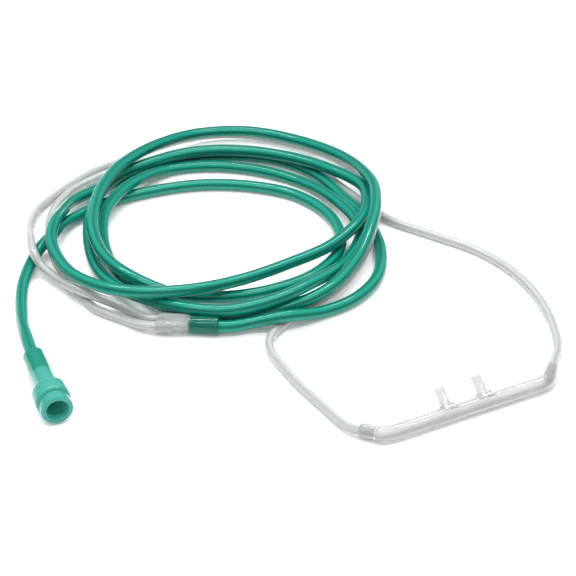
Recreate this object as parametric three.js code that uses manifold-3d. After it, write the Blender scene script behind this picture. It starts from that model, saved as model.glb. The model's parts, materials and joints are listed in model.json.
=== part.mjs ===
// Nasal oxygen cannula, laid down loosely coiled on a level surface.
// Millimetres, +Z up. The origin is the middle of the face piece's box, on the surface.
import * as THREE from "three";
import { mergeVertices } from "three/addons/utils/BufferGeometryUtils.js";
import Module from "manifold-3d";

// Tubing
const SUPPLY_DIAMETER = 5.0;
const LARIAT_DIAMETER = 3.7;
const SUPPLY_SIDES = 8;
const LARIAT_SIDES = 8;
const TUBE_STEP = 9.4; // distance between two sections of a tube
const FIT_GAP = 0.3; // between a tube and the bore that it is bonded into, all round
const TUBE_LEAD = 4.0; // a tube runs straight this far out of each bore

// Face piece: a round bar whose two ends turn back into sockets
const BAR_DIAMETER = 6.8;
const BAR_SPAN = 69.6; // from one elbow's corner to the other's
const BAR_BORE = 4.4;
const BAR_FLAT_DEPTH = 0.25; // how far the flat underside cuts into the round
const ELBOW_LEAD = 5.0; // the elbow's bend starts this far before its corner
const ELBOW_STATIONS = 5;
const SOCKET_TURN = 46.0; // degrees
const SOCKET_REACH = 9.6; // from the elbow's corner to the socket's mouth
const SOCKET_DEPTH = 5.4; // length of the lariat inside its socket
const SOCKET_WALL = 0.65;
const THROAT_DIAMETER = 2.6; // passage past the end of a tube
const THROAT_LENGTH = 0.8;
const SOCKET_SHOULDER = 0.4; // length of each step where the bar narrows to a socket
const SOCKET_EDGE = 0.4; // chamfer round a socket's mouth

// Prongs: two curved tubes that leave the bar with flared feet
const PRONG_SPACING = 15.8;
const PRONG_DIAMETER = 5.0;
const PRONG_WALL = 0.9;
const PRONG_LENGTH = 10.4; // along its curve, from inside the bar
const PRONG_RISE = 0.9; // the curve starts this far above the bar's axis
const PRONG_START_PITCH = 22.0; // degrees above level
const PRONG_END_PITCH = 41.0;
const PRONG_FOOT_WIDTH = 10.4; // along the bar
const PRONG_FOOT_LENGTH = 4.2; // how far up the prong its foot reaches
const PRONG_LIP_ROUND = 0.8;
const PRONG_STATIONS = 8;

// Wye connector: a flat half with two bores and a round barrel with one
const WYE_LENGTH = 24.6;
const WYE_FLAT_LENGTH = 10.8;
const WYE_BORE_SPACING = 4.6;
const WYE_WALL = 0.5; // round the two lariat bores
const WYE_LARIAT_DEPTH = 6.0;
const WYE_SUPPLY_DEPTH = 11.4;
const WYE_SUPPLY_WALL = 0.85;
const WYE_RIB_COUNT = 2;
const WYE_RIB_DEPTH = 0.25;
const WYE_RIB_PITCH = 1.3;
const WYE_EDGE = 0.5;
const WYE_PASSAGE = 2.2;

// Funnel connector: a sleeve over the tube's end, a collar and a tapered mouth
const SLEEVE_LENGTH = 22.5;
const SLEEVE_WALL = 1.4;
const SLEEVE_SHOULDER = 1.0; // length of the rounded end that the tube goes into
const SLEEVE_SWELL = 0.3; // how much thicker the sleeve is where it meets the collar
const COLLAR_DIAMETER = 13.4;
const COLLAR_LENGTH = 8.2;
const COLLAR_ROUND = 1.2;
const GROOVE_DIAMETER = 11.0;
const GROOVE_LENGTH = 1.2;
const LIP_DIAMETER = 12.0;
const LIP_LENGTH = 3.6;
const LIP_ROUND = 0.5;
const MOUTH_BORE = 8.2;
const TAPER_BORE = 5.5; // at the inner end of the taper
const TAPER_DEPTH = 20.0;
const FUNNEL_TUBE_DEPTH = 13.0;
const FUNNEL_THROAT = 4.2;

// Where the moulded pieces lie: a point on the level, a direction in degrees, a height
const FLOOR_GAP = 0.05; // under the round pieces that lie on the surface
const BAR_CENTRE = [2.5, -4.7];
const BAR_TURN = 26.4;
const WYE_START = [-115.3, 48.0]; // middle of the face that the lariats go into
const WYE_TURN = -5.6;
const FUNNEL_START = [-160.5, 22.5]; // middle of the sleeve's end
const FUNNEL_TURN = -68.8;

// Free runs of the three tubes between the pieces they are bonded into, by eye along the
// tube. Each point is [x, y, height of the tube's middle].
const SUPPLY_RUN = [
  // out of the wye, over the left lariat, up the right side and round the back
  [-78.5, 47, 4.2], [-65.5, 48, 6.6], [-50.5, 56, 3], [-37.5, 65, 2.6],
  [-27.5, 80.5, 2.6], [-25, 101.5, 2.6], [-28.5, 118.5, 3], [-32.5, 128, 4],
  [-38.5, 138, 4.2], [-52, 162, 2.7], [-70, 175, 2.6], [-90.5, 178.5, 2.6],
  [-110.5, 176, 2.6], [-129, 165, 2.6], [-137, 158.5, 2.6], [-144.5, 152, 2.8],
  // wide loop at the left, over the tail and the right lariat
  [-157, 136.5, 4.6], [-160, 122.5, 8.4], [-161.5, 107, 12.4], [-162, 99, 11.4],
  [-160.5, 91, 10.2], [-152.5, 75, 9.8], [-138.5, 60.5, 12.4], [-122.5, 55, 13.4],
  // the run that crosses the coil's opening, then round the back again
  [-104, 58.5, 11.8], [-84.5, 69.5, 8.6], [-64, 84, 7], [-45.5, 97, 8],
  [-33, 113, 10.4], [-30, 128, 9.4], [-31.5, 143.5, 8.2], [-44.5, 156.5, 8.4],
  [-64, 169, 7.6], [-85.5, 175, 7.2], [-107, 173.5, 7.3], [-127, 163, 7.4],
  [-135.5, 155.5, 7.8], [-142, 147, 7.6],
  // second turn, front
  [-146, 135, 8], [-148, 125.5, 6.9], [-147.5, 105.5, 4.7], [-141, 83, 3.7],
  [-127.5, 64.5, 6.3], [-109.5, 54.5, 7.4], [-89.5, 50, 8], [-71, 52.5, 10.7],
  [-54, 64.5, 11.3], [-39.5, 91.5, 3.8], [-33, 111, 4.4],
  // second turn, back
  [-35, 120.5, 5.4], [-39, 127.5, 6.6], [-54, 152, 2.8], [-74, 164, 2.8],
  [-96.5, 169, 2.7], [-117.5, 165, 3.1], [-134, 143, 8],
  // third turn, front
  [-142, 122, 7.5], [-141, 104, 3.7], [-133, 83, 2.8], [-118.5, 64.5, 2.7],
  [-101.5, 54, 2.7], [-82.5, 53, 2.8], [-64, 55, 6.1], [-48, 64.5, 8],
  [-35.5, 85.5, 9.2],
  // third turn, on top and furthest back
  [-28, 108.5, 14.2], [-26.5, 120.5, 15], [-27.5, 138, 13.8], [-39, 168.5, 7.8],
  [-59.5, 187.5, 5.4], [-82.5, 196, 5.2], [-105.5, 193, 5.8], [-123.5, 176, 9.6],
  [-137, 149.5, 15], [-142, 138, 14.6], [-145, 124.5, 14.2], [-145, 101.5, 12.5],
  [-138, 83.5, 10.4], [-124.5, 71, 8.4],
  // innermost turn, on the surface
  [-109, 66, 4.8], [-90, 66.5, 2.9], [-71, 71.5, 2.6], [-53.5, 82.5, 2.6],
  [-42, 102.5, 2.6], [-45, 125.5, 2.6], [-60, 144, 2.6], [-81, 152, 2.6],
  [-103, 153, 2.6], [-124, 147.5, 2.6], [-142, 138, 2.8],
  // tail, over the right lariat and down to the funnel
  [-157.5, 122.5, 3.3], [-162.5, 105.5, 7.1], [-167.5, 98, 4.8], [-171.5, 76.5, 2.7],
  [-168.5, 50, 3.4], [-164.5, 34, 6.6],
];
const LEFT_LARIAT_RUN = [
  [-50, -3.5, 2], [-62.5, 15.5, 2], [-71, 34, 2], [-70, 41.5, 2],
  [-66.5, 47.5, 2], [-55, 61.5, 2], [-41, 78, 2.2], [-31, 99, 4.4],
  [-28.5, 108, 6.8], [-26, 121.5, 7.2], [-27.5, 154, 2.4], [-39.5, 176.5, 2],
  [-59.5, 192, 2], [-83, 200.5, 2], [-105.5, 199, 2], [-124.5, 188.5, 2],
  [-139.5, 174.5, 2], [-152, 164.5, 2], [-164, 148.5, 2], [-171.5, 135.5, 2],
  [-173.5, 127, 2.2], [-173.5, 115, 4], [-171, 100.5, 7.8], [-168, 88.5, 8.8],
  [-165.5, 86, 5.4], [-160.5, 80, 4.6], [-155, 74, 4.6], [-148, 66, 6.7],
  [-130.5, 59.5, 3.2],
];
const RIGHT_LARIAT_RUN = [
  [40, 31, 2], [41, 41.5, 2], [38, 64, 2], [29.5, 84.5, 2],
  [16.5, 100.5, 2], [0.5, 111.5, 2], [-15.5, 121.5, 2], [-22.5, 127.5, 2],
  [-27.5, 133.5, 2], [-38.5, 149.5, 2], [-52, 169, 2], [-71, 182, 2],
  [-91.5, 186, 2], [-112, 182.5, 2], [-128, 174, 2], [-142, 166, 2],
  [-152.5, 157, 2], [-160.5, 146, 2.5], [-166, 129.5, 2], [-164.5, 109, 2],
  [-159.5, 91.5, 2], [-155.5, 83, 2], [-150.5, 74, 2], [-145.5, 66, 2],
  [-141, 60, 2], [-126, 50.5, 2.2],
];

const UP = new THREE.Vector3(0, 0, 1);
const SECTION_POINTS = 20; // round a moulded piece
const BORE_POINTS = 16;
const OVERCUT = 1.0; // how far a cutter runs past the face that it opens
const STEP_SLOPE = 0.01; // a loft takes a square step over this length
const radians = THREE.MathUtils.degToRad;

const wasm = await Module();
wasm.setup();

// A closed geometry through stations {at, along, side, across, high}. Each section is a
// flat-sided oval, across from side to side and high the other way, or round if they match.
function loft(stations, count) {
  const positions = [];
  for (const { at, along, side, across, high } of stations) {
    const rise = new THREE.Vector3().crossVectors(along, side);
    for (let i = 0; i < count; i++) {
      const turn = (2 * Math.PI * i) / count;
      const shift = Math.abs(Math.cos(turn)) < 1e-9 ? 0 : Math.sign(Math.cos(turn));
      const reach = (shift * (across - high)) / 2 + (Math.cos(turn) * high) / 2;
      const point = at.clone();
      point.addScaledVector(side, reach);
      point.addScaledVector(rise, (Math.sin(turn) * high) / 2);
      positions.push(point.x, point.y, point.z);
    }
  }
  const last = stations.length - 1;
  const startMiddle = positions.length / 3;
  positions.push(...stations[0].at.toArray(), ...stations[last].at.toArray());
  const endMiddle = startMiddle + 1;
  const faces = [];
  for (let j = 0; j < count; j++) {
    const next = (j + 1) % count;
    for (let i = 0; i < last; i++) {
      const near = i * count;
      const far = near + count;
      faces.push(near + j, near + next, far + j);
      faces.push(near + next, far + next, far + j);
    }
    faces.push(startMiddle, next, j);
    faces.push(endMiddle, last * count + j, last * count + next);
  }
  const geometry = new THREE.BufferGeometry();
  geometry.setAttribute("position", new THREE.Float32BufferAttribute(positions, 3));
  geometry.setIndex(faces);
  return geometry;
}

// A station on a straight axis along +X.
function station(x, across, high = across, y = 0) {
  return {
    at: new THREE.Vector3(x, y, 0),
    along: new THREE.Vector3(1, 0, 0),
    side: new THREE.Vector3(0, 1, 0),
    across,
    high,
  };
}

function solid(geometry) {
  const bare = geometry.clone();
  bare.deleteAttribute("normal");
  bare.deleteAttribute("uv");
  const merged = mergeVertices(bare, 1e-4);
  const mesh = new wasm.Mesh({
    numProp: 3,
    vertProperties: new Float32Array(merged.attributes.position.array),
    triVerts: new Uint32Array(merged.index.array),
  });
  return new wasm.Manifold(mesh);
}

function geometryOf(body) {
  const mesh = body.getMesh();
  const geometry = new THREE.BufferGeometry();
  const flat = new Float32Array(mesh.vertProperties);
  geometry.setAttribute("position", new THREE.BufferAttribute(flat, 3));
  geometry.setIndex(new THREE.BufferAttribute(new Uint32Array(mesh.triVerts), 1));
  const facets = geometry.toNonIndexed();
  facets.computeVertexNormals();
  return facets;
}

function plastic(color, opacity) {
  return new THREE.MeshStandardMaterial({
    color,
    roughness: 0.2,
    metalness: 0,
    transparent: opacity < 1,
    opacity,
  });
}

function named(name, geometry, material) {
  const mesh = new THREE.Mesh(geometry, material);
  mesh.name = name;
  return mesh;
}

// Face piece, in its own frame: the bar along X, its prong side toward +Y, its axis at z 0.
const barHeight = BAR_DIAMETER / 2 - BAR_FLAT_DEPTH;
const socketBore = LARIAT_DIAMETER + 2 * FIT_GAP;
const socketDiameter = socketBore + 2 * SOCKET_WALL;
const elbowCorner = new THREE.Vector3(BAR_SPAN / 2, 0, 0);
const socketTurn = radians(SOCKET_TURN);
const socketWay = new THREE.Vector3(Math.cos(socketTurn), Math.sin(socketTurn), 0);
const socketMouth = elbowCorner.clone().addScaledVector(socketWay, SOCKET_REACH);
const socketTail = SOCKET_REACH - ELBOW_LEAD / 2;

// The right half of the bar's centre line, from its middle to the socket's inner end.
function halfBar(diameter) {
  const start = elbowCorner.clone();
  start.x -= ELBOW_LEAD;
  const end = elbowCorner.clone().addScaledVector(socketWay, ELBOW_LEAD / 2);
  const bend = new THREE.QuadraticBezierCurve3(start, elbowCorner, end);
  const stations = [];
  for (let i = 0; i <= ELBOW_STATIONS; i++) {
    const share = i / ELBOW_STATIONS;
    const along = bend.getTangent(share);
    const side = new THREE.Vector3().crossVectors(UP, along);
    const at = bend.getPoint(share);
    stations.push({ at, along, side, across: diameter, high: diameter });
  }
  return stations;
}

function onSocket(fromMouth, diameter) {
  const at = socketMouth.clone().addScaledVector(socketWay, -fromMouth);
  const side = new THREE.Vector3().crossVectors(UP, socketWay);
  return { at, along: socketWay.clone(), side, across: diameter, high: diameter };
}

// The same stations for the left half, walked from the socket's mouth to the middle.
function mirrored(stations) {
  return stations.toReversed().map(({ at, along, side, across, high }) => ({
    at: new THREE.Vector3(-at.x, at.y, at.z),
    along: new THREE.Vector3(along.x, -along.y, along.z),
    side: new THREE.Vector3(-side.x, side.y, side.z),
    across,
    high,
  }));
}

function wholeBar(half) {
  return loft([...mirrored(half), ...half], SECTION_POINTS);
}

const barSkin = wholeBar([
  ...halfBar(BAR_DIAMETER),
  onSocket(socketTail - SOCKET_SHOULDER, (BAR_DIAMETER + socketDiameter) / 2),
  onSocket(socketTail - 2 * SOCKET_SHOULDER, socketDiameter),
  onSocket(SOCKET_EDGE, socketDiameter),
  onSocket(0, socketDiameter - SOCKET_EDGE),
]);
const barHollow = wholeBar([
  ...halfBar(BAR_BORE).slice(0, -1),
  onSocket(SOCKET_DEPTH + FIT_GAP + THROAT_LENGTH + SOCKET_SHOULDER, BAR_BORE),
  onSocket(SOCKET_DEPTH + FIT_GAP + THROAT_LENGTH, THROAT_DIAMETER),
  onSocket(SOCKET_DEPTH + FIT_GAP, THROAT_DIAMETER),
  onSocket(SOCKET_DEPTH + FIT_GAP - STEP_SLOPE, socketBore),
  onSocket(-OVERCUT, socketBore),
]);

// Stations up a prong that stands at x, as pairs of a distance along its curve and a width.
function prong(x, widths) {
  const startPitch = radians(PRONG_START_PITCH);
  const bend = (radians(PRONG_END_PITCH) - startPitch) / PRONG_LENGTH;
  return widths.map(([distance, across, high = across]) => {
    const middle = startPitch + (bend * distance) / 2;
    const pitch = startPitch + bend * distance;
    const y = Math.cos(middle) * distance;
    const z = PRONG_RISE + Math.sin(middle) * distance;
    return {
      at: new THREE.Vector3(x, y, z),
      along: new THREE.Vector3(0, Math.cos(pitch), Math.sin(pitch)),
      side: new THREE.Vector3(1, 0, 0),
      across,
      high,
    };
  });
}

function prongSkin(x) {
  const widths = [];
  for (let i = 0; i < PRONG_STATIONS; i++) {
    const distance = ((PRONG_LENGTH - PRONG_LIP_ROUND) * i) / (PRONG_STATIONS - 1);
    const foot = Math.max(0, 1 - distance / PRONG_FOOT_LENGTH) ** 1.6;
    const across = PRONG_DIAMETER + (PRONG_FOOT_WIDTH - PRONG_DIAMETER) * foot;
    widths.push([distance, across, PRONG_DIAMETER * (1 + 0.2 * foot)]);
  }
  widths.push([PRONG_LENGTH, PRONG_DIAMETER - PRONG_LIP_ROUND]);
  return loft(prong(x, widths), SECTION_POINTS);
}

function prongHollow(x) {
  const bore = PRONG_DIAMETER - 2 * PRONG_WALL;
  const distances = [0, 0.3, 0.6, 0.85, 1].map((share) => share * PRONG_LENGTH);
  distances.push(PRONG_LENGTH + OVERCUT);
  return loft(prong(x, distances.map((d) => [d, bore])), BORE_POINTS);
}

let face = solid(barSkin);
for (const x of [-PRONG_SPACING / 2, PRONG_SPACING / 2]) {
  face = face.add(solid(prongSkin(x)));
}
face = face.subtract(solid(barHollow));
for (const x of [-PRONG_SPACING / 2, PRONG_SPACING / 2]) {
  face = face.subtract(solid(prongHollow(x)));
}
const underside = new THREE.BoxGeometry(2 * BAR_SPAN, BAR_SPAN, BAR_DIAMETER);
underside.translate(0, 0, -barHeight - BAR_DIAMETER / 2);
face = face.subtract(solid(underside));

const facePiece = named("face_piece", geometryOf(face), plastic(0xd9dcdd, 0.6));
facePiece.position.set(BAR_CENTRE[0], BAR_CENTRE[1], barHeight);
facePiece.rotation.z = radians(BAR_TURN);
facePiece.updateMatrix();

// Wye connector, in its own frame: along X from the face that the lariats go into.
const lariatBore = LARIAT_DIAMETER + 2 * FIT_GAP;
const supplyBore = SUPPLY_DIAMETER + 2 * FIT_GAP;
const wyeHigh = lariatBore + 2 * WYE_WALL;
const wyeWide = wyeHigh + WYE_BORE_SPACING;
const barrel = supplyBore + 2 * WYE_SUPPLY_WALL;
const wyeSections = [
  station(0, wyeWide - WYE_EDGE, wyeHigh - WYE_EDGE),
  station(WYE_EDGE, wyeWide, wyeHigh),
  station(WYE_FLAT_LENGTH, wyeWide, wyeHigh),
];
const neck = WYE_FLAT_LENGTH + WYE_RIB_PITCH / 2;
for (let i = 0; i < WYE_RIB_COUNT; i++) {
  const share = (i + 1) / (WYE_RIB_COUNT + 1);
  const wide = THREE.MathUtils.lerp(wyeWide, barrel, share);
  const high = THREE.MathUtils.lerp(wyeHigh, barrel, share);
  const x = neck + i * WYE_RIB_PITCH;
  wyeSections.push(station(x, wide - WYE_RIB_DEPTH, high - WYE_RIB_DEPTH));
  wyeSections.push(station(x + WYE_RIB_PITCH / 2, wide, high));
}
wyeSections.push(station(neck + WYE_RIB_COUNT * WYE_RIB_PITCH, barrel));
wyeSections.push(station(WYE_LENGTH - WYE_EDGE, barrel));
wyeSections.push(station(WYE_LENGTH, barrel - WYE_EDGE));
let wye = solid(loft(wyeSections, SECTION_POINTS));
const supplyCut = [
  station(WYE_LENGTH - WYE_SUPPLY_DEPTH - FIT_GAP, supplyBore),
  station(WYE_LENGTH + OVERCUT, supplyBore),
];
wye = wye.subtract(solid(loft(supplyCut, BORE_POINTS)));
for (const y of [-WYE_BORE_SPACING / 2, WYE_BORE_SPACING / 2]) {
  const lariatEnd = WYE_LARIAT_DEPTH + FIT_GAP;
  const lariatCut = [
    station(-OVERCUT, lariatBore, lariatBore, y),
    station(lariatEnd, lariatBore, lariatBore, y),
  ];
  const passage = [
    station(lariatEnd - OVERCUT, WYE_PASSAGE, WYE_PASSAGE, y),
    station(WYE_LENGTH - WYE_SUPPLY_DEPTH, WYE_PASSAGE, WYE_PASSAGE, y / 2),
  ];
  wye = wye.subtract(solid(loft(lariatCut, BORE_POINTS)));
  wye = wye.subtract(solid(loft(passage, BORE_POINTS)));
}
const wyeConnector = named("wye_connector", geometryOf(wye), plastic(0xcfdcda, 0.6));
wyeConnector.position.set(WYE_START[0], WYE_START[1], barrel / 2 + FLOOR_GAP);
wyeConnector.rotation.z = radians(WYE_TURN);
wyeConnector.updateMatrix();

// Funnel connector: a turned profile, with y as the distance from the sleeve's end.
const collarStart = SLEEVE_LENGTH;
const collarEnd = collarStart + COLLAR_LENGTH;
const lipStart = collarEnd + GROOVE_LENGTH;
const funnelLength = lipStart + LIP_LENGTH;
const tubeSeat = FUNNEL_TUBE_DEPTH + FIT_GAP;
const sleeve = supplyBore + 2 * SLEEVE_WALL;
const funnelProfile = [
  [supplyBore, 0],
  [sleeve - SLEEVE_SWELL, 0],
  [sleeve, SLEEVE_SHOULDER],
  [sleeve + 2 * SLEEVE_SWELL, collarStart],
  [COLLAR_DIAMETER - 2 * COLLAR_ROUND, collarStart + SLEEVE_SWELL],
  [COLLAR_DIAMETER - 0.5 * COLLAR_ROUND, collarStart + 0.5 * COLLAR_ROUND],
  [COLLAR_DIAMETER, collarStart + 1.4 * COLLAR_ROUND],
  [COLLAR_DIAMETER, collarEnd - 1.4 * COLLAR_ROUND],
  [COLLAR_DIAMETER - 0.5 * COLLAR_ROUND, collarEnd - 0.5 * COLLAR_ROUND],
  [GROOVE_DIAMETER, collarEnd],
  [GROOVE_DIAMETER, lipStart],
  [LIP_DIAMETER, lipStart + LIP_ROUND],
  [LIP_DIAMETER, funnelLength - LIP_ROUND],
  [LIP_DIAMETER - 2 * LIP_ROUND, funnelLength],
  [MOUTH_BORE, funnelLength],
  [TAPER_BORE, funnelLength - TAPER_DEPTH],
  [FUNNEL_THROAT, funnelLength - TAPER_DEPTH],
  [FUNNEL_THROAT, tubeSeat],
  [supplyBore, tubeSeat],
];
const turned = [...funnelProfile, funnelProfile[0]].map(
  ([diameter, y]) => new THREE.Vector2(diameter / 2, y),
);
const funnelGeometry = new THREE.LatheGeometry(turned, SECTION_POINTS);
funnelGeometry.rotateZ(-Math.PI / 2);
const funnelConnector = named(
  "funnel_connector",
  funnelGeometry,
  plastic(0x5fbfae, 0.8),
);
const funnelHeight = COLLAR_DIAMETER / 2 + FLOOR_GAP;
funnelConnector.position.set(FUNNEL_START[0], FUNNEL_START[1], funnelHeight);
funnelConnector.rotation.z = radians(FUNNEL_TURN);
funnelConnector.updateMatrix();

// A point of a placed piece, given in the piece's own frame.
function pointOf(piece, x, y, z = 0) {
  return new THREE.Vector3(x, y, z).applyMatrix4(piece.matrix).toArray();
}

function tube(points, diameter, sides) {
  const places = points.map((point) => new THREE.Vector3(...point));
  const path = new THREE.CatmullRomCurve3(places, false, "centripetal");
  path.arcLengthDivisions = 20 * points.length;
  const outline = [];
  for (let i = 0; i < sides; i++) {
    const turn = (2 * Math.PI * (i + 0.5)) / sides;
    const x = (Math.cos(turn) * diameter) / 2;
    outline.push(new THREE.Vector2(x, (Math.sin(turn) * diameter) / 2));
  }
  const steps = Math.round(path.getLength() / TUBE_STEP);
  return new THREE.ExtrudeGeometry(new THREE.Shape(outline), {
    steps,
    bevelEnabled: false,
    extrudePath: path,
  });
}

// Where a lariat leaves its socket: its end inside, and the end of its straight lead.
function socketPoints(hand) {
  return [SOCKET_DEPTH, -TUBE_LEAD].map((fromMouth) => {
    const { x, y } = onSocket(fromMouth, LARIAT_DIAMETER).at;
    return pointOf(facePiece, hand * x, y);
  });
}

const clearTube = plastic(0xd4d8d9, 0.55);
const lariatLeft = tube(
  [
    ...socketPoints(-1),
    ...LEFT_LARIAT_RUN,
    pointOf(wyeConnector, -TUBE_LEAD, WYE_BORE_SPACING / 2),
    pointOf(wyeConnector, WYE_LARIAT_DEPTH, WYE_BORE_SPACING / 2),
  ],
  LARIAT_DIAMETER,
  LARIAT_SIDES,
);
const lariatRight = tube(
  [
    ...socketPoints(1),
    ...RIGHT_LARIAT_RUN,
    pointOf(wyeConnector, -TUBE_LEAD, -WYE_BORE_SPACING / 2),
    pointOf(wyeConnector, WYE_LARIAT_DEPTH, -WYE_BORE_SPACING / 2),
  ],
  LARIAT_DIAMETER,
  LARIAT_SIDES,
);
const supply = tube(
  [
    pointOf(wyeConnector, WYE_LENGTH - WYE_SUPPLY_DEPTH, 0),
    pointOf(wyeConnector, WYE_LENGTH + TUBE_LEAD, 0),
    ...SUPPLY_RUN,
    pointOf(funnelConnector, -TUBE_LEAD, 0),
    pointOf(funnelConnector, FUNNEL_TUBE_DEPTH, 0),
  ],
  SUPPLY_DIAMETER,
  SUPPLY_SIDES,
);

const cannula = new THREE.Group();
cannula.add(facePiece);
cannula.add(wyeConnector);
cannula.add(funnelConnector);
cannula.add(named("lariat_tube_left", lariatLeft, clearTube));
cannula.add(named("lariat_tube_right", lariatRight, clearTube));
cannula.add(named("supply_tube", supply, plastic(0x0fa088, 0.9)));

// The middle of the face piece's box goes to the origin.
const faceBox = new THREE.Box3().setFromObject(facePiece, true);
const middle = faceBox.getCenter(new THREE.Vector3());
cannula.position.set(-middle.x, -middle.y, -faceBox.min.z);

export default cannula;
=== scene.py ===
import json
import math

import bmesh
import bpy
from mathutils import Matrix, Vector

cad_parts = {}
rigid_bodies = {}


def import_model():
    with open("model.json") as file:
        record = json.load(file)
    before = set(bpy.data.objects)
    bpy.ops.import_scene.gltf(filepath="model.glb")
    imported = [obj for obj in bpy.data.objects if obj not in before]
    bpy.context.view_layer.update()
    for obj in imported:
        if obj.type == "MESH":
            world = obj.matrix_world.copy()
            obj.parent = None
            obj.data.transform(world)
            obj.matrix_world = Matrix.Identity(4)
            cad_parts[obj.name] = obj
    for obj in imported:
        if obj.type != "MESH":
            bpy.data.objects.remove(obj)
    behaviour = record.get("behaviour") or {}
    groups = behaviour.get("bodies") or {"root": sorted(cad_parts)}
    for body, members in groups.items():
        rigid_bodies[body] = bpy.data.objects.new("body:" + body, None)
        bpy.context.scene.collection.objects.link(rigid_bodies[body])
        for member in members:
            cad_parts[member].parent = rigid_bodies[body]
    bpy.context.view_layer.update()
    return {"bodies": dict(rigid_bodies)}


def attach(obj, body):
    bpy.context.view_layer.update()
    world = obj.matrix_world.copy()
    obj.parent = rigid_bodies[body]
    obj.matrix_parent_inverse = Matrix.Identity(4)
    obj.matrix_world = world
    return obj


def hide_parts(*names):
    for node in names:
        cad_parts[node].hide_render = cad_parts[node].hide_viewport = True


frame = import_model()
ROOT = next(iter(frame["bodies"]))

# Sizes in metres. The main ones are the same as those of the solids.
MM = 0.001
FIT_GAP = 0.3 * MM
OVERCUT = 1.0 * MM
SUPPLY_D = 5.0 * MM
LARIAT_D = 3.7 * MM
LARIAT_BORE = 2.2 * MM
SUPPLY_LUMEN_LOW = 1.0 * MM
SUPPLY_LUMEN_HIGH = 1.65 * MM
SUPPLY_BORE = SUPPLY_D + 2 * FIT_GAP
LARIAT_SEAT = LARIAT_D + 2 * FIT_GAP
TUBE_LEAD = 4.0 * MM
BAR_D = 6.8 * MM
BAR_SPAN = 69.6 * MM
BAR_BORE = 4.4 * MM
BAR_FLAT = 0.25 * MM
UNDER_LENGTH = 160.0 * MM
UNDER_WIDTH = 80.0 * MM
UNDER_DEPTH = 10.0 * MM
ELBOW_LEAD = 5.0 * MM
SOCKET_TURN = math.radians(46.0)
SOCKET_REACH = 9.6 * MM
SOCKET_DEPTH = 5.4 * MM
SOCKET_SEAT = SOCKET_DEPTH + FIT_GAP
SOCKET_D = LARIAT_SEAT + 1.3 * MM
SOCKET_BORE = LARIAT_SEAT
SOCKET_EDGE = 0.4 * MM
SOCKET_SHOULDER = 0.4 * MM
STEP_SLOPE = 0.01 * MM
THROAT_D = 2.6 * MM
THROAT_LENGTH = 0.8 * MM
PRONG_SPACING = 15.8 * MM
PRONG_D = 5.0 * MM
PRONG_BORE = 3.2 * MM
PRONG_LENGTH = 10.4 * MM
PRONG_RISE = 0.9 * MM
PRONG_START_PITCH = math.radians(22.0)
PRONG_END_PITCH = math.radians(41.0)
PRONG_FOOT_WIDTH = 10.4 * MM
PRONG_FOOT_LENGTH = 4.2 * MM
PRONG_FOOT_POWER = 1.6
PRONG_FOOT_SWELL = 0.2
PRONG_LIP = 0.8 * MM
WYE_LENGTH = 24.6 * MM
WYE_FLAT = 10.8 * MM
WYE_BORES = 4.6 * MM
WYE_LARIAT_DEPTH = 6.0 * MM
WYE_SUPPLY_DEPTH = 11.4 * MM
WYE_HIGH = LARIAT_SEAT + 1.0 * MM
WYE_WIDE = WYE_HIGH + WYE_BORES
WYE_BARREL = SUPPLY_BORE + 1.7 * MM
WYE_EDGE = 0.4 * MM
WYE_RIBS = 2
WYE_RIB_PITCH = 1.3 * MM
WYE_RIB_DEPTH = 0.35 * MM
WYE_RIB_RUN = (WYE_RIBS + 0.5) * WYE_RIB_PITCH
WYE_RIB_ENDING = 4.0
WYE_PASSAGE = 2.2 * MM
SLEEVE_LENGTH = 22.5 * MM
SLEEVE_D = SUPPLY_BORE + 2.8 * MM
SLEEVE_SWELL = 0.3 * MM
SLEEVE_WALL = 0.5 * MM
SLEEVE_ROUND = 0.7 * MM
SLEEVE_SHOULDER = 0.9 * MM
COLLAR_D = 13.4 * MM
COLLAR_LENGTH = 8.2 * MM
COLLAR_FRONT_ROUND = 1.6 * MM
COLLAR_BACK_ROUND = 1.9 * MM
COLLAR_FRONT_ANGLE = 15
COLLAR_BACK_ANGLE = 175
GROOVE_D = 11.0 * MM
GROOVE_LENGTH = 1.2 * MM
GROOVE_EDGE = 0.1 * MM
LIP_D = 12.0 * MM
LIP_LENGTH = 3.6 * MM
LIP_ROUND = 0.5 * MM
MOUTH_BORE = 8.2 * MM
MOUTH_FLARE = 0.5 * MM
MOUTH_EDGE = 0.4 * MM
TAPER_BORE = 5.5 * MM
TAPER_DEPTH = 20.0 * MM
FUNNEL_TUBE_DEPTH = 13.0 * MM
FUNNEL_THROAT = 4.2 * MM
FLOOR_GAP = 0.05 * MM

# Fineness of the meshes.
TUBE_STEP = 1.6 * MM
CURVE_SHARE = 0.25
CURVE_LEAST = 4
SUPPLY_SIDES = 30
LARIAT_SIDES = 20
LARIAT_BORE_SIDES = 14
STAR_STEPS = 3
FINE_SIDES = 48
ELBOW_STEPS = 14
PRONG_STEPS = 14
PRONG_BORE_STEPS = 6
WYE_RIB_STEPS = 24
CORNER_STEPS = 6
CORNER_TURNS = (0, 30, 60, 90)
EDGE_ANGLE = math.radians(38)
MELT_VOXEL = 0.24 * MM
MELT_ROUNDS = 12
MELT_STRENGTH = 0.5

# The vinyl.
VINYL_IOR = 1.36
MOTTLE = 0.05
MOTTLE_SCALE = 120.0
MOTTLE_DETAIL = 3.0
SKIN_WAVES = 0.1
SKIN_WAVE_HEIGHT = 0.2 * MM
# Painted shade: the mask name and the sharpness of thin dark lines along the tubes.
RIB_SHADE_MASK = "rib_shade_mask"
RIB_COUNT = 5
RIB_SHADE_SHARPNESS = 1.6
WYE_FADE = (-1.0 * MM, 0.5 * MM)
FUNNEL_FADE = (-1.0 * MM, 1.5 * MM)

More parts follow.
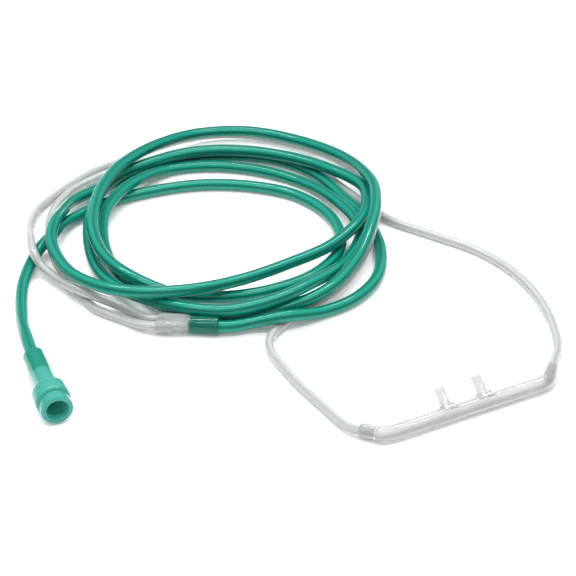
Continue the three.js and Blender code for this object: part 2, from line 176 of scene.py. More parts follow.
# The studio.
FLOOR_HALF = 6.0
FLOOR_DROP = 0.2 * MM
FLOOR_COLOUR = (0.95, 0.95, 0.95, 1)
FLOOR_GLOW = 0.12
SKY_LOW = (0.30, 0.30, 0.30)
SKY_HIGH = (1.0, 1.0, 1.0)
SKY_STRENGTH = 1.0
SKY_LOW_AT = 0.05
SKY_HIGH_AT = 0.75
LIT_SPOT = (-0.07, 0.08, 0.0)
KEY_AT = (-0.15, 0.35, 0.9)
FILL_AT = (0.0, -0.25, 0.95)
SOFTBOX_LENGTH = 1.2
KEY_WIDTH = 0.10
KEY_POWER = 8.0
FILL_WIDTH = 0.05
FILL_POWER = 4.5

# The camera, at the photograph's angle.
CAMERA_SENSOR = 36.0
CAMERA_LENS = 107.2

# The shift that the solids too are given, and the places of the three connectors.
SHIFT = Vector((-0.2674, 1.1132, 0.0)) * MM
BAR_CENTRE = Vector((2.5, -4.7, 0.0)) * MM + SHIFT
BAR_TURN = math.radians(26.4)
WYE_START = Vector((-115.3, 48.0, 0.0)) * MM + SHIFT
WYE_TURN = math.radians(-5.6)
FUNNEL_START = Vector((-160.5, 22.5, 0.0)) * MM + SHIFT
FUNNEL_TURN = math.radians(-68.8)

# The three tubes' free runs: x, y and the height of the tube's middle, in metres before the shift.
SUPPLY_RUN = [
    # out of the wye, over the left lariat, up the right side and round the back
    (-0.0785, 0.0470, 0.0042), (-0.0655, 0.0480, 0.0066), (-0.0505, 0.0560, 0.0030),
    (-0.0375, 0.0650, 0.0026), (-0.0275, 0.0805, 0.0026), (-0.0250, 0.1015, 0.0026),
    (-0.0285, 0.1185, 0.0030), (-0.0325, 0.1280, 0.0040), (-0.0385, 0.1380, 0.0042),
    (-0.0520, 0.1620, 0.0027), (-0.0700, 0.1750, 0.0026), (-0.0905, 0.1785, 0.0026),
    (-0.1105, 0.1760, 0.0026), (-0.1290, 0.1650, 0.0026), (-0.1370, 0.1585, 0.0026),
    (-0.1445, 0.1520, 0.0028),
    # wide loop at the left, over the tail and the right lariat
    (-0.1570, 0.1365, 0.0046), (-0.1600, 0.1225, 0.0084), (-0.1615, 0.1070, 0.0124),
    (-0.1620, 0.0990, 0.0114), (-0.1605, 0.0910, 0.0102), (-0.1525, 0.0750, 0.0098),
    (-0.1385, 0.0605, 0.0124), (-0.1225, 0.0550, 0.0134),
    # the run that crosses the coil's opening, then round the back again
    (-0.1040, 0.0585, 0.0118), (-0.0845, 0.0695, 0.0086), (-0.0640, 0.0840, 0.0070),
    (-0.0455, 0.0970, 0.0080), (-0.0330, 0.1130, 0.0104), (-0.0300, 0.1280, 0.0094),
    (-0.0315, 0.1435, 0.0082), (-0.0445, 0.1565, 0.0084), (-0.0640, 0.1690, 0.0076),
    (-0.0855, 0.1750, 0.0072), (-0.1070, 0.1735, 0.0073), (-0.1270, 0.1630, 0.0074),
    (-0.1355, 0.1555, 0.0078), (-0.1420, 0.1470, 0.0076),
    # second turn, front
    (-0.1460, 0.1350, 0.0080), (-0.1480, 0.1255, 0.0069), (-0.1475, 0.1055, 0.0047),
    (-0.1410, 0.0830, 0.0037), (-0.1275, 0.0645, 0.0063), (-0.1095, 0.0545, 0.0074),
    (-0.0895, 0.0500, 0.0080), (-0.0710, 0.0525, 0.0107), (-0.0540, 0.0645, 0.0113),
    (-0.0395, 0.0915, 0.0038), (-0.0330, 0.1110, 0.0044),
    # second turn, back
    (-0.0350, 0.1205, 0.0054), (-0.0390, 0.1275, 0.0066), (-0.0540, 0.1520, 0.0028),
    (-0.0740, 0.1640, 0.0028), (-0.0965, 0.1690, 0.0027), (-0.1175, 0.1650, 0.0031),
    (-0.1340, 0.1430, 0.0080),
    # third turn, front
    (-0.1420, 0.1220, 0.0075), (-0.1410, 0.1040, 0.0037), (-0.1330, 0.0830, 0.0028),
    (-0.1185, 0.0645, 0.0027), (-0.1015, 0.0540, 0.0027), (-0.0825, 0.0530, 0.0028),
    (-0.0640, 0.0550, 0.0061), (-0.0480, 0.0645, 0.0080), (-0.0355, 0.0855, 0.0092),
    # third turn, on top and furthest back
    (-0.0280, 0.1085, 0.0142), (-0.0265, 0.1205, 0.0150), (-0.0275, 0.1380, 0.0138),
    (-0.0390, 0.1685, 0.0078), (-0.0595, 0.1875, 0.0054), (-0.0825, 0.1960, 0.0052),
    (-0.1055, 0.1930, 0.0058), (-0.1235, 0.1760, 0.0096), (-0.1370, 0.1495, 0.0150),
    (-0.1420, 0.1380, 0.0146), (-0.1450, 0.1245, 0.0142), (-0.1450, 0.1015, 0.0125),
    (-0.1380, 0.0835, 0.0104), (-0.1245, 0.0710, 0.0084),
    # innermost turn, on the surface
    (-0.1090, 0.0660, 0.0048), (-0.0900, 0.0665, 0.0029), (-0.0710, 0.0715, 0.0026),
    (-0.0535, 0.0825, 0.0026), (-0.0420, 0.1025, 0.0026), (-0.0450, 0.1255, 0.0026),
    (-0.0600, 0.1440, 0.0026), (-0.0810, 0.1520, 0.0026), (-0.1030, 0.1530, 0.0026),
    (-0.1240, 0.1475, 0.0026), (-0.1420, 0.1380, 0.0028),
    # tail, over the right lariat and down to the funnel
    (-0.1575, 0.1225, 0.0033), (-0.1625, 0.1055, 0.0071), (-0.1675, 0.0980, 0.0048),
    (-0.1715, 0.0765, 0.0027), (-0.1685, 0.0500, 0.0034), (-0.1645, 0.0340, 0.0066),
]
LEFT_RUN = [
    (-0.0500, -0.0035, 0.0020), (-0.0625, 0.0155, 0.0020), (-0.0710, 0.0340, 0.0020),
    (-0.0700, 0.0415, 0.0020), (-0.0665, 0.0475, 0.0020), (-0.0550, 0.0615, 0.0020),
    (-0.0410, 0.0780, 0.0022), (-0.0310, 0.0990, 0.0044), (-0.0285, 0.1080, 0.0068),
    (-0.0260, 0.1215, 0.0072), (-0.0275, 0.1540, 0.0024), (-0.0395, 0.1765, 0.0020),
    (-0.0595, 0.1920, 0.0020), (-0.0830, 0.2005, 0.0020), (-0.1055, 0.1990, 0.0020),
    (-0.1245, 0.1885, 0.0020), (-0.1395, 0.1745, 0.0020), (-0.1520, 0.1645, 0.0020),
    (-0.1640, 0.1485, 0.0020), (-0.1715, 0.1355, 0.0020), (-0.1735, 0.1270, 0.0022),
    (-0.1735, 0.1150, 0.0040), (-0.1710, 0.1005, 0.0078), (-0.1680, 0.0885, 0.0088),
    (-0.1655, 0.0860, 0.0054), (-0.1605, 0.0800, 0.0046), (-0.1550, 0.0740, 0.0046),
    (-0.1480, 0.0660, 0.0067), (-0.1305, 0.0595, 0.0032),
]
RIGHT_RUN = [
    (0.0400, 0.0310, 0.0020), (0.0410, 0.0415, 0.0020), (0.0380, 0.0640, 0.0020),
    (0.0295, 0.0845, 0.0020), (0.0165, 0.1005, 0.0020), (0.0005, 0.1115, 0.0020),
    (-0.0155, 0.1215, 0.0020), (-0.0225, 0.1275, 0.0020), (-0.0275, 0.1335, 0.0020),
    (-0.0385, 0.1495, 0.0020), (-0.0520, 0.1690, 0.0020), (-0.0710, 0.1820, 0.0020),
    (-0.0915, 0.1860, 0.0020), (-0.1120, 0.1825, 0.0020), (-0.1280, 0.1740, 0.0020),
    (-0.1420, 0.1660, 0.0020), (-0.1525, 0.1570, 0.0020), (-0.1605, 0.1460, 0.0025),
    (-0.1660, 0.1295, 0.0020), (-0.1645, 0.1090, 0.0020), (-0.1595, 0.0915, 0.0020),
    (-0.1555, 0.0830, 0.0020), (-0.1505, 0.0740, 0.0020), (-0.1455, 0.0660, 0.0020),
    (-0.1410, 0.0600, 0.0020), (-0.1260, 0.0505, 0.0022),
]

camera_data = bpy.data.cameras.new("camera")
camera = bpy.data.objects.new("camera", camera_data)
bpy.context.scene.collection.objects.link(camera)
camera_data.sensor_width = CAMERA_SENSOR
camera_data.lens = CAMERA_LENS
target = Vector((-63.8, 76.8, 0.0)) * MM + SHIFT
camera.location = Vector((-63.8, -496.6, 401.5)) * MM + SHIFT
camera.rotation_euler = (target - camera.location).to_track_quat("-Z", "Y").to_euler()
bpy.context.scene.camera = camera


def placed(at, turn, height):
    return Matrix.Translation((at.x, at.y, height)) @ Matrix.Rotation(turn, 4, "Z")


BAR_HEIGHT = BAR_D / 2 - BAR_FLAT
FACE = placed(BAR_CENTRE, BAR_TURN, BAR_HEIGHT)
WYE = placed(WYE_START, WYE_TURN, WYE_BARREL / 2 + FLOOR_GAP)
FUNNEL = placed(FUNNEL_START, FUNNEL_TURN, COLLAR_D / 2 + FLOOR_GAP)
ELBOW = Vector((BAR_SPAN / 2, 0.0, 0.0))
SOCKET_WAY = Vector((math.cos(SOCKET_TURN), math.sin(SOCKET_TURN), 0.0))
UP = Vector((0.0, 0.0, 1.0))


def socket_place(hand, from_mouth):
    """A place on a socket's axis, in the face piece's own frame."""
    at = ELBOW + SOCKET_WAY * (SOCKET_REACH - from_mouth)
    return Vector((hand * at.x, at.y, at.z))


def socket_point(hand, from_mouth):
    return FACE @ socket_place(hand, from_mouth)


def on_wye(x, y=0.0):
    return WYE @ Vector((x, y, 0.0))


def on_funnel(x):
    return FUNNEL @ Vector((x, 0.0, 0.0))


def laid(points):
    return [Vector(p) + SHIFT for p in points]


def centripetal(points, step):
    """Points a step apart on the centripetal Catmull-Rom curve through the given ones."""
    ends = [2 * points[0] - points[1], *points, 2 * points[-1] - points[-2]]
    fine = []
    for a, b, c, d in zip(ends, ends[1:], ends[2:], ends[3:]):
        t1 = (b - a).length ** 0.5
        t2 = t1 + (c - b).length ** 0.5
        t3 = t2 + (d - c).length ** 0.5
        count = max(CURVE_LEAST, math.ceil((c - b).length / (CURVE_SHARE * step)))
        for i in range(count):
            t = t1 + (t2 - t1) * i / count
            ab = a * ((t1 - t) / t1) + b * (t / t1)
            bc = b * ((t2 - t) / (t2 - t1)) + c * ((t - t1) / (t2 - t1))
            cd = c * ((t3 - t) / (t3 - t2)) + d * ((t - t2) / (t3 - t2))
            abc = ab * ((t2 - t) / t2) + bc * (t / t2)
            bcd = bc * ((t3 - t) / (t3 - t1)) + cd * ((t - t1) / (t3 - t1))
            fine.append(abc * ((t2 - t) / (t2 - t1)) + bcd * ((t - t1) / (t2 - t1)))
    fine.append(points[-1].copy())
    arc = [0.0]
    for p, q in zip(fine, fine[1:]):
        arc.append(arc[-1] + (q - p).length)
    count = round(arc[-1] / step)
    even = []
    k = 0
    for i in range(count + 1):
        s = arc[-1] * i / count
        while k < len(arc) - 2 and arc[k + 1] < s:
            k += 1
        even.append(fine[k].lerp(fine[k + 1], (s - arc[k]) / (arc[k + 1] - arc[k])))
    return even


def frames(path):
    """An along and a side direction at each point, turned as little as can be."""
    out = []
    side = None
    for i, p in enumerate(path):
        along = (path[min(i + 1, len(path) - 1)] - path[max(i - 1, 0)]).normalized()
        if side is None:
            side = along.orthogonal().normalized()
        side = (side - along * side.dot(along)).normalized()
        out.append((p, along, side))
    return out


def linked(name, mesh):
    made = bpy.data.objects.new(name, mesh)
    bpy.context.scene.collection.objects.link(made)
    return made


def ring(at, along, side, outline):
    rise = along.cross(side)
    return [at + side * x + rise * y for x, y in outline]


def circle(radius, count):
    turns = [2 * math.pi * i / count for i in range(count)]
    return [(radius * math.cos(t), radius * math.sin(t)) for t in turns]


def oval(across, high, count):
    """Two half circles of the given height, moved apart to the given width."""
    shift = (across - high) / 2
    return [(x + math.copysign(shift, x) * (abs(x) > 1e-9), y) for x, y in circle(high / 2, count)]


def star(low, high, points, per_point):
    """The outline of a lumen with ribs between its points."""
    out = []
    count = points * per_point
    for i in range(count):
        t = 2 * math.pi * i / count
        radius = low + (high - low) * (0.5 + 0.5 * math.cos(points * t))
        out.append((radius * math.cos(t), radius * math.sin(t)))
    return out


def skin(rings, start=0, flip=False):
    """Faces between successive rings, whose points are numbered in order from start."""
    count = len(rings[0])
    faces = []
    for i in range(len(rings) - 1):
        for j in range(count):
            k = (j + 1) % count
            a, b = start + i * count + j, start + i * count + k
            faces.append((b, a, a + count, b + count) if flip else (a, b, b + count, a + count))
    return faces


def loft(name, rings):
    """A closed body through rings of as many points each."""
    verts = [v for r in rings for v in r]
    faces = skin(rings)
    count = len(rings[0])
    faces.append(tuple(reversed(range(count))))
    faces.append(tuple(range(len(verts) - count, len(verts))))
    mesh = bpy.data.meshes.new(name)
    mesh.from_pydata(verts, [], faces)
    return linked(name, mesh)


def hollow(name, outside, inside):
    """A body between two runs of rings, with flat rings at its ends.

    Its inner faces take the second material."""
    base = len(outside) * len(outside[0])
    mesh = bmesh.new()
    for r in (*outside, *inside):
        for v in r:
            mesh.verts.new(v)
    mesh.verts.ensure_lookup_table()
    for faces, index in ((skin(outside), 0), (skin(inside, base, True), 1)):
        for f in faces:
            mesh.faces.new([mesh.verts[i] for i in f]).material_index = index
    mesh.edges.ensure_lookup_table()
    n, m = len(outside[0]), len(inside[0])
    ends = ((0, base), ((len(outside) - 1) * n, base + (len(inside) - 1) * m))
    for first, second in ends:
        rim = []
        for start, count in ((first, n), (second, m)):
            loop = [mesh.verts[start + i] for i in range(count)]
            rim += [mesh.edges.get((a, b)) for a, b in zip(loop, loop[1:] + loop[:1])]
        bmesh.ops.bridge_loops(mesh, edges=rim)
        mesh.verts.ensure_lookup_table()
    bmesh.ops.recalc_face_normals(mesh, faces=mesh.faces)
    data = bpy.data.meshes.new(name)
    mesh.to_mesh(data)
    mesh.free()
    data.shade_smooth()
    data.set_sharp_from_angle(angle=EDGE_ANGLE)
    return linked(name, data)


def applied(thing):
    """The object with its modifiers taken into its mesh."""
    shown = thing.evaluated_get(bpy.context.evaluated_depsgraph_get())
    mesh = bpy.data.meshes.new_from_object(shown)
    thing.modifiers.clear()
    thing.data = mesh
    return thing


def cut(thing, cutters):
    """The thing less each cutter, which is then deleted."""
    for cutter in cutters:
        less = thing.modifiers.new("cut", "BOOLEAN")
        less.operation = "DIFFERENCE"
        less.solver = "EXACT"
        less.object = cutter
        applied(thing)
        bpy.data.objects.remove(cutter)
    return thing


def melted(parts):
    """Closed bodies joined into one with soft fillets where they meet."""
    whole = parts[0]
    for part in parts[1:]:
        more = whole.modifiers.new("add", "BOOLEAN")
        more.operation = "UNION"
        more.solver = "EXACT"
        more.object = part
        applied(whole)
        bpy.data.objects.remove(part)
    even = whole.modifiers.new("even", "REMESH")
    even.mode = "VOXEL"
    even.voxel_size = MELT_VOXEL
    soft = whole.modifiers.new("soft", "SMOOTH")
    soft.factor = MELT_STRENGTH
    soft.iterations = MELT_ROUNDS
    return applied(whole)


def finished(thing, placement):
    thing.data.transform(placement)
    thing.data.shade_smooth()
    thing.data.set_sharp_from_angle(angle=EDGE_ANGLE)
    return thing


def vinyl(name, colour, roughness, transmission, rib_shade_colour=None, fade=None):
    """Moulded or extruded vinyl: a slightly uneven colour, and fine waves in its skin.

    A rib shade colour paints thin lines of shade along the tube, at the places of a star lumen's
    ribs.
    fade is (placement, at, (before, after), colour): along a placed piece's X, the colour turns
    to that one over a short run that starts at + before and ends at + after."""
    made = bpy.data.materials.new(name)
    made.use_nodes = True
    nodes = made.node_tree.nodes
    links = made.node_tree.links
    shader = nodes["Principled BSDF"]
    shader.inputs["Roughness"].default_value = roughness
    shader.inputs["Transmission Weight"].default_value = transmission
    shader.inputs["IOR"].default_value = VINYL_IOR
    place = nodes.new("ShaderNodeTexCoord")
    noise = nodes.new("ShaderNodeTexNoise")
    noise.inputs["Scale"].default_value = MOTTLE_SCALE
    noise.inputs["Detail"].default_value = MOTTLE_DETAIL
    links.new(place.outputs["Object"], noise.inputs["Vector"])
    tone = nodes.new("ShaderNodeMix")
    tone.data_type = "RGBA"
    tone.inputs["A"].default_value = (*[c * (1 - MOTTLE) for c in colour], 1.0)
    tone.inputs["B"].default_value = (*[min(1, c * (1 + MOTTLE)) for c in colour], 1.0)
    links.new(noise.outputs["Fac"], tone.inputs["Factor"])
    result = tone.outputs["Result"]
    # Painted shade: darker lines along the tube, from the rib shade mask.
    if rib_shade_colour:
        rib_shade_mask = nodes.new("ShaderNodeAttribute")
        rib_shade_mask.attribute_name = RIB_SHADE_MASK
        thin = nodes.new("ShaderNodeMath")
        thin.operation = "POWER"
        thin.inputs[1].default_value = RIB_SHADE_SHARPNESS
        links.new(rib_shade_mask.outputs["Fac"], thin.inputs[0])
        rib_shaded = nodes.new("ShaderNodeMix")
        rib_shaded.data_type = "RGBA"
        links.new(thin.outputs["Value"], rib_shaded.inputs["Factor"])
        links.new(result, rib_shaded.inputs["A"])
        rib_shaded.inputs["B"].default_value = (*rib_shade_colour, 1.0)
        result = rib_shaded.outputs["Result"]
    if fade:
        placement, at, (before, after), other = fade
        move = nodes.new("ShaderNodeVectorMath")
        move.operation = "SUBTRACT"
        move.inputs[1].default_value = placement.translation
        links.new(place.outputs["Object"], move.inputs[0])
        along = nodes.new("ShaderNodeVectorMath")
        along.operation = "DOT_PRODUCT"
        along.inputs[1].default_value = placement.to_3x3() @ Vector((1, 0, 0))
        links.new(move.outputs["Vector"], along.inputs[0])
        reach = nodes.new("ShaderNodeMapRange")
        reach.interpolation_type = "SMOOTHSTEP"
        reach.inputs["From Min"].default_value = at + before
        reach.inputs["From Max"].default_value = at + after
        links.new(along.outputs["Value"], reach.inputs["Value"])
        blend = nodes.new("ShaderNodeMix")
        blend.data_type = "RGBA"
        links.new(reach.outputs["Result"], blend.inputs["Factor"])
        links.new(result, blend.inputs["A"])
        blend.inputs["B"].default_value = (*other, 1.0)
        result = blend.outputs["Result"]
    links.new(result, shader.inputs["Base Color"])
    lump = nodes.new("ShaderNodeBump")
    lump.inputs["Strength"].default_value = SKIN_WAVES
    lump.inputs["Distance"].default_value = SKIN_WAVE_HEIGHT
    links.new(noise.outputs["Fac"], lump.inputs["Height"])
    links.new(lump.outputs["Normal"], shader.inputs["Normal"])
    return made


# Painted shade: the line colours of the green and the clear tubing.
GREEN = vinyl("green_vinyl", (0.0, 0.28, 0.20), 0.08, 0.12, rib_shade_colour=(0.0, 0.12, 0.085))
# Painted light: the lumens' faces are lighter copies of the tubes' vinyl, for the light that comes
# through the middle of a tube.
GREEN_LUMEN_PAINTED_LIGHT = vinyl("green_vinyl_lumen_painted_light", (0.03, 0.60, 0.46), 0.3, 0.0)
CLEAR = vinyl("clear_vinyl", (0.68, 0.70, 0.695), 0.14, 0.45, rib_shade_colour=(0.48, 0.51, 0.50))
CLEAR_LUMEN_PAINTED_LIGHT = vinyl("clear_vinyl_lumen_painted_light", (0.75, 0.78, 0.78), 0.35, 0.3)
MOULDED = vinyl("clear_moulded_vinyl", (0.76, 0.755, 0.75), 0.06, 0.80)
WYE_LOOK = vinyl(
    "clear_connector_vinyl", (0.66, 0.70, 0.685), 0.07, 0.72,
    fade=(WYE, WYE_LENGTH - WYE_SUPPLY_DEPTH, WYE_FADE, (0.0, 0.30, 0.215)),
)
TEAL = vinyl(
    "green_moulded_vinyl", (0.0, 0.28, 0.205), 0.09, 0.35,
    fade=(FUNNEL, FUNNEL_TUBE_DEPTH, FUNNEL_FADE, (0.06, 0.42, 0.345)),
)
# Painted light: the bore is a lighter copy of the funnel's vinyl, for the light that comes through
# its mouth.
TEAL_BORE_PAINTED_LIGHT = vinyl("green_moulded_bore_painted_light", (0.22, 0.72, 0.62), 0.15, 0.2)


def dress(piece, slot, node, *looks):
    piece.data.materials.clear()
    for look in looks:
        piece.data.materials.append(look)
    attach(piece, ROOT)
    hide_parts(node)


# The tubes.
def run_of_tube(name, points, diameter, sides, lumen):
    path = centripetal(points, TUBE_STEP)
    steps = frames(path)
    outside = [ring(*f, circle(diameter / 2, sides)) for f in steps]
    inside = [ring(*f, lumen) for f in steps]
    tube = hollow(name, outside, inside)
    # Mask of painted shade: five thin dark lines along the outer skin, at the star lumen's ribs. The
    # lariats have a round bore but get the same lines, and the inner faces get none.
    rib_shade_mask = tube.data.attributes.new(RIB_SHADE_MASK, "FLOAT", "POINT")
    around = [0.5 - 0.5 * math.cos(2 * math.pi * RIB_COUNT * i / sides) for i in range(sides)]
    inner = [0.0] * (len(lumen) * len(path))
    rib_shade_mask.data.foreach_set("value", around * len(path) + inner)
    return tube, path


supply_points = [
    on_wye(WYE_LENGTH - WYE_SUPPLY_DEPTH),
    on_wye(WYE_LENGTH + TUBE_LEAD),
    *laid(SUPPLY_RUN),
    on_funnel(-TUBE_LEAD),
    on_funnel(FUNNEL_TUBE_DEPTH),
]
supply, supply_path = run_of_tube(
    "green_supply_tube", supply_points, SUPPLY_D, SUPPLY_SIDES,
    star(SUPPLY_LUMEN_LOW, SUPPLY_LUMEN_HIGH, RIB_COUNT, STAR_STEPS),
)
dress(supply, "green_tubing", "supply_tube", GREEN, GREEN_LUMEN_PAINTED_LIGHT)


def lariat(hand, run, side):
    """A lariat tube: hand is the socket's side, and side that of the wye's bore."""
    points = [
        socket_point(hand, SOCKET_DEPTH),
        socket_point(hand, -TUBE_LEAD),
        *laid(run),
        on_wye(-TUBE_LEAD, side * WYE_BORES / 2),
        on_wye(WYE_LARIAT_DEPTH, side * WYE_BORES / 2),
    ]
    name = "left" if hand < 0 else "right"
    lumen = circle(LARIAT_BORE / 2, LARIAT_BORE_SIDES)
    tube, path = run_of_tube(f"clear_lariat_{name}", points, LARIAT_D, LARIAT_SIDES, lumen)
    dress(tube, "clear_tubing", f"lariat_tube_{name}", CLEAR, CLEAR_LUMEN_PAINTED_LIGHT)
    return tube, path


left, left_path = lariat(-1, LEFT_RUN, 1)
right, right_path = lariat(1, RIGHT_RUN, -1)


# The face piece: a bar with two prongs, lofted in its own frame.
def half_bar(diameter):
    """Rings from the bar's right end of straight to the inner end of its socket."""
    start = ELBOW - Vector((ELBOW_LEAD, 0, 0))
    end = ELBOW + SOCKET_WAY * (ELBOW_LEAD / 2)
    rings = []
    for i in range(ELBOW_STEPS + 1):
        t = i / ELBOW_STEPS
        at = start * (1 - t) ** 2 + ELBOW * 2 * t * (1 - t) + end * t ** 2
        along = ((ELBOW - start) * (1 - t) + (end - ELBOW) * t).normalized()
        rings.append((at, along, diameter))
    return rings


def bar_loft(name, half):
    rings = []
    for at, along, diameter in reversed(half):
        here = Vector((-at.x, at.y, at.z))
        way = Vector((along.x, -along.y, along.z))
        rings.append(ring(here, way, UP.cross(way), circle(diameter / 2, FINE_SIDES)))
    for at, along, diameter in half:
        rings.append(ring(at, along, UP.cross(along), circle(diameter / 2, FINE_SIDES)))
    return loft(name, rings)


def on_socket(from_mouth, diameter):
    return socket_place(1, from_mouth), SOCKET_WAY, diameter


def prong_rings(x, widths):
    """Rings up a prong that stands at x, from pairs of a distance along it and a width."""
    bend = (PRONG_END_PITCH - PRONG_START_PITCH) / PRONG_LENGTH
    rings = []
    for distance, across, high in widths:
        middle = PRONG_START_PITCH + bend * distance / 2
        pitch = PRONG_START_PITCH + bend * distance
        at = Vector((x, math.cos(middle) * distance, PRONG_RISE + math.sin(middle) * distance))
        along = Vector((0, math.cos(pitch), math.sin(pitch)))
        rings.append(ring(at, along, Vector((1, 0, 0)), oval(across, high, FINE_SIDES)))
    return rings


def prong_skin(x):
    widths = []
    for i in range(PRONG_STEPS + 1):
        distance = (PRONG_LENGTH - PRONG_LIP) * i / PRONG_STEPS
        foot = max(0.0, 1 - distance / PRONG_FOOT_LENGTH) ** PRONG_FOOT_POWER
        across = PRONG_D + (PRONG_FOOT_WIDTH - PRONG_D) * foot
        widths.append((distance, across, PRONG_D * (1 + PRONG_FOOT_SWELL * foot)))
    for turn in CORNER_TURNS[1:]:
        round_off = 1 - math.cos(math.radians(turn))
        distance = PRONG_LENGTH - PRONG_LIP * (1 - math.sin(math.radians(turn)))
        width = PRONG_D - 2 * PRONG_LIP * round_off
        widths.append((distance, width, width))
    return loft("prong_skin", prong_rings(x, widths))


def prong_hollow(x):
    distances = [PRONG_LENGTH * i / PRONG_BORE_STEPS for i in range(PRONG_BORE_STEPS + 1)]
    distances.append(PRONG_LENGTH + OVERCUT)
    rings = prong_rings(x, [(d, PRONG_BORE, PRONG_BORE) for d in distances])
    return loft("prong_hollow", rings)


prong_places = (-PRONG_SPACING / 2, PRONG_SPACING / 2)
shoulder = SOCKET_REACH - ELBOW_LEAD / 2
bar_skin = bar_loft("bar_skin", [
    *half_bar(BAR_D),
    on_socket(shoulder - SOCKET_SHOULDER, (BAR_D + SOCKET_D) / 2),
    on_socket(shoulder - 2 * SOCKET_SHOULDER, SOCKET_D),
    on_socket(SOCKET_EDGE, SOCKET_D),
    on_socket(0.0, SOCKET_D - SOCKET_EDGE),
])
bar_hollow = bar_loft("bar_hollow", [
    *half_bar(BAR_BORE)[:-1],
    on_socket(SOCKET_SEAT + THROAT_LENGTH + SOCKET_EDGE, BAR_BORE),
    on_socket(SOCKET_SEAT + THROAT_LENGTH, THROAT_D),
    on_socket(SOCKET_SEAT, THROAT_D),
    on_socket(SOCKET_SEAT - STEP_SLOPE, SOCKET_BORE),
    on_socket(-OVERCUT, SOCKET_BORE),
])
face = melted([bar_skin, *[prong_skin(x) for x in prong_places]])
under_corners = [
    (x * UNDER_LENGTH / 2, y * UNDER_WIDTH / 2) for x, y in ((-1, -1), (1, -1), (1, 1), (-1, 1))
]
under = loft("underside", [
    [Vector((x, y, z)) for x, y in under_corners]
    for z in (-BAR_HEIGHT - UNDER_DEPTH, -BAR_HEIGHT)
])
cut(face, [bar_hollow, *[prong_hollow(x) for x in prong_places], under])
face.name = "clear_face_piece"
finished(face, FACE)
dress(face, "clear_moulding", "face_piece", MOULDED)


# The wye: an oval half that holds both lariats, ridges, and a round barrel.
def station(x, across, high, y=0.0):
    side = Vector((0, 1, 0))
    return ring(Vector((x, y, 0)), Vector((1, 0, 0)), side, oval(across, high, FINE_SIDES))


wye_rings = []
for turn in CORNER_TURNS:
    out = 1 - math.sin(math.radians(turn))
    back = 1 - math.cos(math.radians(turn))
    less = 2 * WYE_EDGE * out
    wye_rings.append(station(WYE_EDGE * back, WYE_WIDE - less, WYE_HIGH - less))
wye_rings.append(station(WYE_FLAT, WYE_WIDE, WYE_HIGH))
for i in range(1, WYE_RIB_STEPS + 1):
    share = i / WYE_RIB_STEPS
    ease = share * share * (3 - 2 * share)
    wave = 0.5 - 0.5 * math.cos(2 * math.pi * (WYE_RIBS + 0.5) * share)
    dip = WYE_RIB_DEPTH * wave * min(1, WYE_RIB_ENDING * (1 - share))
    wide = WYE_WIDE + (WYE_BARREL - WYE_WIDE) * ease - 2 * dip
    high = WYE_HIGH + (WYE_BARREL - WYE_HIGH) * ease - 2 * dip
    wye_rings.append(station(WYE_FLAT + WYE_RIB_RUN * share, wide, high))
for turn in CORNER_TURNS:
    round_off = 1 - math.cos(math.radians(turn))
    less = 2 * WYE_EDGE * round_off
    x = WYE_LENGTH - WYE_EDGE * (1 - math.sin(math.radians(turn)))
    wye_rings.append(station(x, WYE_BARREL - less, WYE_BARREL - less))
wye = loft("wye_skin", wye_rings)
supply_cut = loft("supply_cut", [
    station(x, SUPPLY_BORE, SUPPLY_BORE)
    for x in (WYE_LENGTH - WYE_SUPPLY_DEPTH - FIT_GAP, WYE_LENGTH + OVERCUT)
])
cutters = [supply_cut]
for side in (-1, 1):
    y = side * WYE_BORES / 2
    seat = WYE_LARIAT_DEPTH + FIT_GAP
    cutters.append(loft("lariat_cut", [
        station(x, LARIAT_SEAT, LARIAT_SEAT, y) for x in (-OVERCUT, seat)
    ]))
    cutters.append(loft("passage", [
        station(seat - OVERCUT, WYE_PASSAGE, WYE_PASSAGE, y),
        station(WYE_LENGTH - WYE_SUPPLY_DEPTH, WYE_PASSAGE, WYE_PASSAGE, y / 2),
    ]))
cut(wye, cutters)
wye.name = "clear_wye"
finished(wye, WYE)
dress(wye, "clear_connector", "wye_connector", WYE_LOOK)

# The funnel: a turned sleeve, a rounded collar, a groove, a lip and a tapered mouth.
collar_end = SLEEVE_LENGTH + COLLAR_LENGTH
lip_start = collar_end + GROOVE_LENGTH
funnel_end = lip_start + LIP_LENGTH


def corner(at, diameter, rounding, start, stop):
    """Pairs of place and diameter round a corner that reaches the given diameter.

    at is the place of the rounding's centre. The angles are in degrees, from one to the other."""
    out = []
    for i in range(CORNER_STEPS + 1):
        turn = math.radians(start + (stop - start) * i / CORNER_STEPS)
        here = diameter - 2 * rounding + 2 * rounding * math.sin(turn)
        out.append((at + rounding * math.cos(turn), here))
    return out


outer = [
    (0.0, SUPPLY_BORE + 2 * SLEEVE_WALL),
    *corner(SLEEVE_ROUND, SLEEVE_D, SLEEVE_ROUND, 180, 90),
    (SLEEVE_LENGTH - SLEEVE_SHOULDER, SLEEVE_D + 2 * SLEEVE_SWELL),
    (SLEEVE_LENGTH - SLEEVE_SWELL, SLEEVE_D + 3 * SLEEVE_SWELL),
    *corner(SLEEVE_LENGTH + COLLAR_BACK_ROUND, COLLAR_D, COLLAR_BACK_ROUND, COLLAR_BACK_ANGLE, 90),
    *corner(collar_end - COLLAR_FRONT_ROUND, COLLAR_D, COLLAR_FRONT_ROUND, 90, COLLAR_FRONT_ANGLE),
    (collar_end + GROOVE_EDGE, GROOVE_D),
    (lip_start - GROOVE_EDGE, GROOVE_D),
    *corner(lip_start + LIP_ROUND, LIP_D, LIP_ROUND, 180, 90),
    *corner(funnel_end - LIP_ROUND, LIP_D, LIP_ROUND, 90, 0),
]
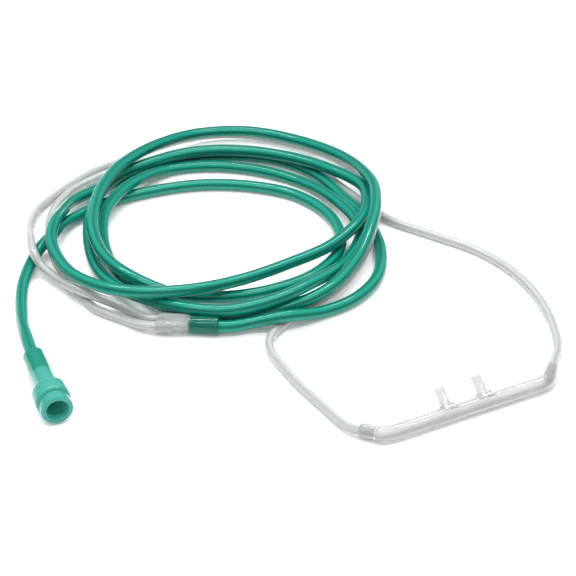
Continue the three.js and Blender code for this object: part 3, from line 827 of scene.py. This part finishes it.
inner = [
    (0.0, SUPPLY_BORE),
    (FUNNEL_TUBE_DEPTH + FIT_GAP, SUPPLY_BORE),
    (FUNNEL_TUBE_DEPTH + FIT_GAP + STEP_SLOPE, FUNNEL_THROAT),
    (funnel_end - TAPER_DEPTH, FUNNEL_THROAT),
    (funnel_end - TAPER_DEPTH + STEP_SLOPE, TAPER_BORE),
    (funnel_end - MOUTH_EDGE, MOUTH_BORE),
    (funnel_end, MOUTH_BORE + MOUTH_FLARE),
]


def turned(profile):
    ahead = Vector((1, 0, 0))
    side = Vector((0, 1, 0))
    return [ring(Vector((x, 0, 0)), ahead, side, circle(d / 2, FINE_SIDES)) for x, d in profile]


funnel = hollow("green_funnel", turned(outer), turned(inner))
funnel.data.transform(FUNNEL)
dress(funnel, "green_moulding", "funnel_connector", TEAL, TEAL_BORE_PAINTED_LIGHT)

# The stage: white paper, a soft sky that is darker near the level, and two softboxes.
floor_mesh = bpy.data.meshes.new("floor")
floor_corners = [(x * FLOOR_HALF, y * FLOOR_HALF, 0) for x, y in ((-1, -1), (1, -1), (1, 1), (-1, 1))]
floor_mesh.from_pydata(floor_corners, [], [(0, 1, 2, 3)])
floor = linked("floor", floor_mesh)
floor.location.z = -FLOOR_DROP
paper = bpy.data.materials.new("white_paper")
paper.use_nodes = True
paper_shader = paper.node_tree.nodes["Principled BSDF"]
paper_shader.inputs["Base Color"].default_value = FLOOR_COLOUR
paper_shader.inputs["Roughness"].default_value = 0.9
paper_shader.inputs["Specular IOR Level"].default_value = 0.0
paper_shader.inputs["Emission Color"].default_value = (1, 1, 1, 1)
paper_shader.inputs["Emission Strength"].default_value = FLOOR_GLOW
floor.data.materials.append(paper)

world = bpy.data.worlds.new("studio")
bpy.context.scene.world = world
world.use_nodes = True
sky = world.node_tree.nodes
sky_links = world.node_tree.links
place = sky.new("ShaderNodeTexCoord")
split = sky.new("ShaderNodeSeparateXYZ")
ramp = sky.new("ShaderNodeValToRGB")
ramp.color_ramp.elements[0].position = SKY_LOW_AT
ramp.color_ramp.elements[0].color = (*SKY_LOW, 1)
ramp.color_ramp.elements[1].position = SKY_HIGH_AT
ramp.color_ramp.elements[1].color = (*SKY_HIGH, 1)
sky_links.new(place.outputs["Generated"], split.inputs["Vector"])
sky_links.new(split.outputs["Z"], ramp.inputs["Fac"])
sky_links.new(ramp.outputs["Color"], sky["Background"].inputs["Color"])
sky["Background"].inputs["Strength"].default_value = SKY_STRENGTH


def softbox(name, at, width, power):
    """A long area light above the part, turned to the spot that is lit."""
    data = bpy.data.lights.new(name, "AREA")
    data.shape = "RECTANGLE"
    data.size = SOFTBOX_LENGTH
    data.size_y = width
    data.energy = power
    lamp = linked(name, data)
    lamp.location = at
    lamp.rotation_euler = (Vector(LIT_SPOT) - Vector(at)).to_track_quat("-Z", "Y").to_euler()


softbox("key", KEY_AT, KEY_WIDTH, KEY_POWER)
softbox("fill", FILL_AT, FILL_WIDTH, FILL_POWER)
bpy.context.scene.view_settings.view_transform = "Standard"
